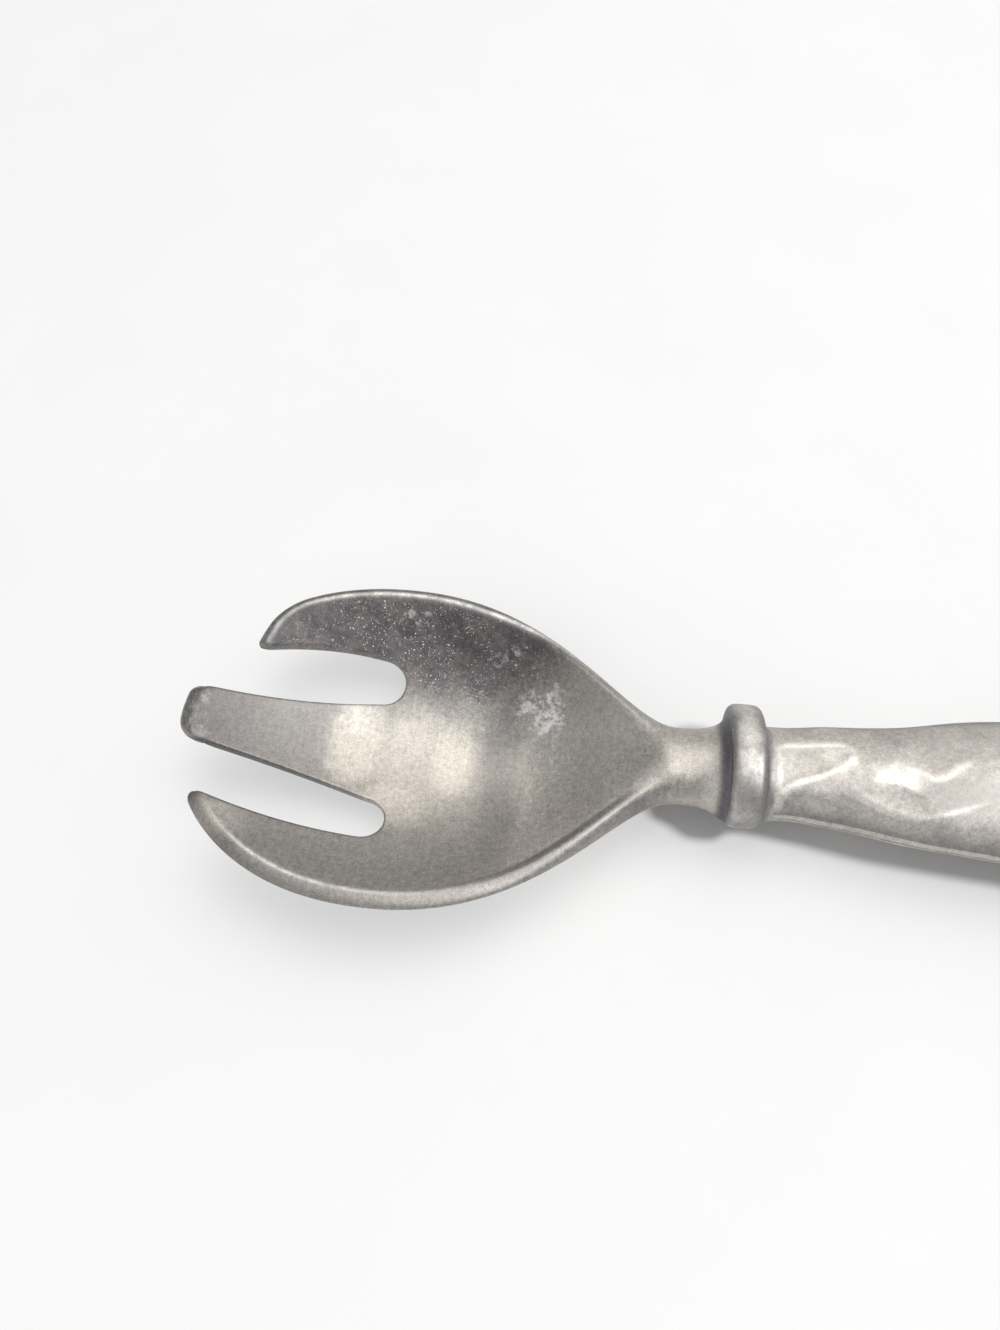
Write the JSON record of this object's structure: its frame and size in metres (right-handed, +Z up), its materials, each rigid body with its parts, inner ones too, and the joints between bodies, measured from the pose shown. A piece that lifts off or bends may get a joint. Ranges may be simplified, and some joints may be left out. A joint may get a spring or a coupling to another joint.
{
  "type": "salad server",
  "caption": "Cast metal salad server: a shallow dished head slotted into tines, an oval neck, a raised collar and a hollow hammered handle.",
  "frame": {"origin": "on the table under the middle of the whole length and width, as the server lies on the heel of its bowl and the tail of its handle", "axes": "+X along the length towards the tail of the handle, +Y across towards the shorter outer tine, +Z up out of the bowl"},
  "size_m": [0.279, 0.062, 0.0186],
  "materials": {
    "head_metal": "cast, brushed and tarnished",
    "collar_metal": "polished and worn",
    "handle_metal": "hammered and polished",
    "resin": "filled casting resin"
  },
  "bodies": {
    "root": {"head": "head_metal", "collar": "collar_metal", "handle_upper_shell": "handle_metal", "handle_lower_shell": "handle_metal", "handle_core": "resin"}
  },
  "joints": []
}
